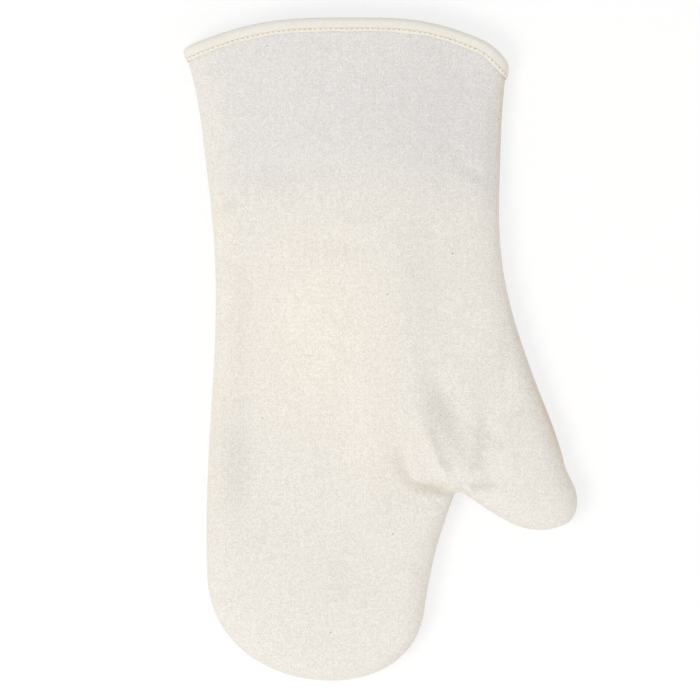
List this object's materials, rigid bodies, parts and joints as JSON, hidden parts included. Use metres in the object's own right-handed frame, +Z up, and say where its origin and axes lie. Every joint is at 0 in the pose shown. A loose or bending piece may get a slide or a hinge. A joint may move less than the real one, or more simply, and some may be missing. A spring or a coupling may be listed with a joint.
{
  "type": "oven mitt",
  "caption": "Padded canvas oven mitt with a flared, bound cuff, a rounded finger pocket and a separate thumb, lying flat.",
  "frame": {"origin": "bottom centre of the mitt as it lies, halfway along its length and its greatest width, on the surface it rests on", "axes": "+Y runs from the fingertips to the cuff, +X from the little finger's side to the thumb, +Z up from the surface through the mitt's thickness"},
  "size_m": [0.2266, 0.381, 0.0271],
  "materials": {
    "canvas": "undyed cream plain-weave cotton canvas with slubs and seed flecks",
    "batting": "needled cotton batting, matt and fluffy",
    "lining": "undyed cream cotton sheeting",
    "binding": "bias strip of the same cream canvas",
    "thread": "cream cotton sewing thread, slightly yellower than the canvas"
  },
  "bodies": {
    "root": {"upper_canvas": "canvas", "lower_canvas": "canvas", "upper_batting": "batting", "lower_batting": "batting", "upper_lining": "lining", "lower_lining": "lining", "cuff_binding": "binding", "outer_stitches": "thread", "inner_stitches": "thread", "canvas_seam_thread": "thread", "lining_seam_thread": "thread"}
  },
  "joints": []
}
